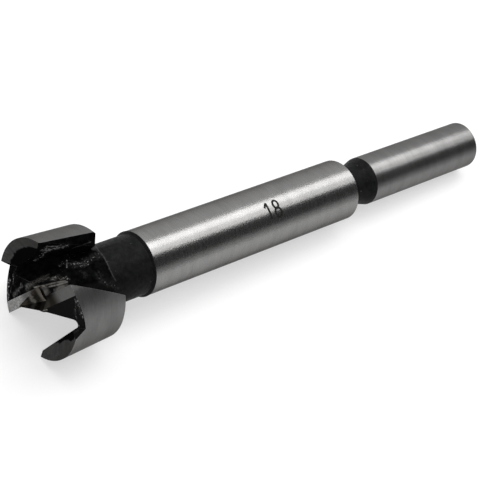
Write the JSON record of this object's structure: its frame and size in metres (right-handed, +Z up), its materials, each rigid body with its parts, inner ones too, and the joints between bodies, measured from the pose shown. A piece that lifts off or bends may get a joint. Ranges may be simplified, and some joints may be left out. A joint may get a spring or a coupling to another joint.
{
  "type": "forstner bit",
  "caption": "Solid steel forstner bit with a lipped cutting head, rim spurs, chip openings and a centre point on a stepped round shank, lying on its side.",
  "frame": {"origin": "ground point under the middle of the lying bit's bounding box", "axes": "+X along the bit from the centre point towards the shank's end, +Y across the bit, +Z up"},
  "size_m": [0.0954, 0.018, 0.0162],
  "materials": {
    "steel": "ground bright on body, shank, rim and lips; black and slightly rough in the chip openings, on the neck and in the groove"
  },
  "bodies": {
    "root": {"forstner_bit": "steel"}
  },
  "joints": []
}
